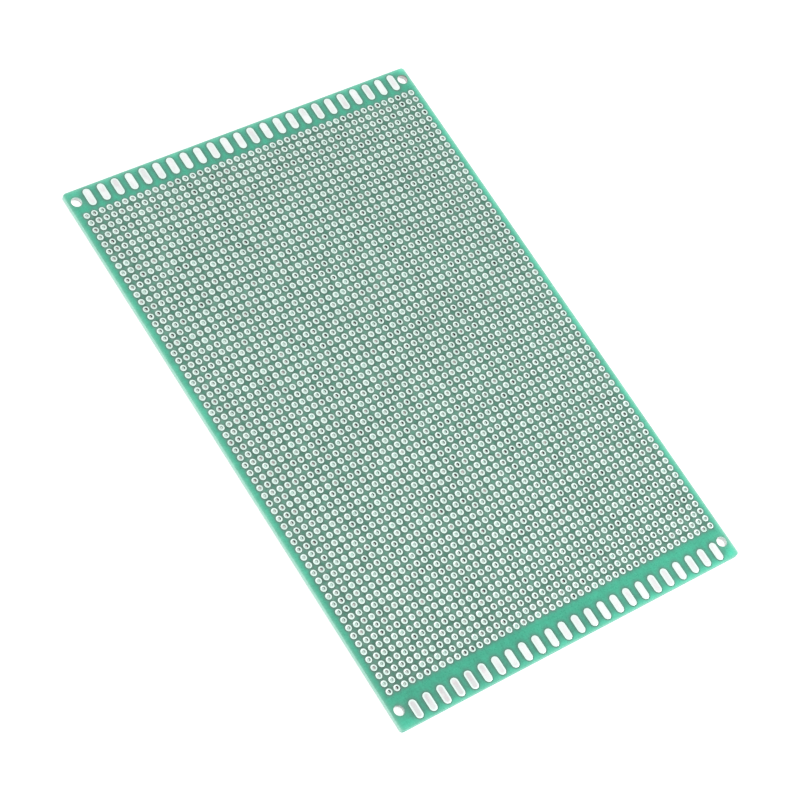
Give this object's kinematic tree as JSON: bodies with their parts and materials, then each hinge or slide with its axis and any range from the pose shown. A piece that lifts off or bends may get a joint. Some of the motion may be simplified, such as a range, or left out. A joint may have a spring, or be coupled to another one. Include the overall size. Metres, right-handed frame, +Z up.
{
  "type": "prototype board",
  "caption": "Double-sided prototype board: a green glass-fibre sheet with a grid of plated holes, solder pads along both short ends and corner mounting holes.",
  "frame": {"origin": "middle of the board, level with the underside of the pads", "axes": "+X across the board, +Y along it towards the far end, whose pads lie beyond the mounting holes, +Z up from the side that the picture shows"},
  "size_m": [0.12, 0.18, 0.0017],
  "materials": {
    "coated_laminate": "semi-gloss green solder mask on pale green glass-fibre laminate",
    "tinned_copper": "satin hot-air-levelled tin over copper"
  },
  "bodies": {
    "root": {"laminate": "coated_laminate", "edge_pads_far_top": "tinned_copper", "edge_pads_far_bottom": "tinned_copper", "edge_pads_near_top": "tinned_copper", "edge_pads_near_bottom": "tinned_copper", "plated_column_01": "tinned_copper", "plated_column_02": "tinned_copper", "plated_column_03": "tinned_copper", "plated_column_04": "tinned_copper", "plated_column_05": "tinned_copper", "plated_column_06": "tinned_copper", "plated_column_07": "tinned_copper", "plated_column_08": "tinned_copper", "plated_column_09": "tinned_copper", "plated_column_10": "tinned_copper", "plated_column_11": "tinned_copper", "plated_column_12": "tinned_copper", "plated_column_13": "tinned_copper", "plated_column_14": "tinned_copper", "plated_column_15": "tinned_copper", "plated_column_16": "tinned_copper", "plated_column_17": "tinned_copper", "plated_column_18": "tinned_copper", "plated_column_19": "tinned_copper", "plated_column_20": "tinned_copper", "plated_column_21": "tinned_copper", "plated_column_22": "tinned_copper", "plated_column_23": "tinned_copper", "plated_column_24": "tinned_copper", "plated_column_25": "tinned_copper", "plated_column_26": "tinned_copper", "plated_column_27": "tinned_copper", "plated_column_28": "tinned_copper", "plated_column_29": "tinned_copper", "plated_column_30": "tinned_copper", "plated_column_31": "tinned_copper", "plated_column_32": "tinned_copper", "plated_column_33": "tinned_copper", "plated_column_34": "tinned_copper", "plated_column_35": "tinned_copper", "plated_column_36": "tinned_copper", "plated_column_37": "tinned_copper", "plated_column_38": "tinned_copper", "plated_column_39": "tinned_copper", "plated_column_40": "tinned_copper", "plated_column_41": "tinned_copper", "plated_column_42": "tinned_copper", "plated_column_43": "tinned_copper", "plated_column_44": "tinned_copper", "plated_column_45": "tinned_copper", "plated_column_46": "tinned_copper"}
  },
  "joints": []
}
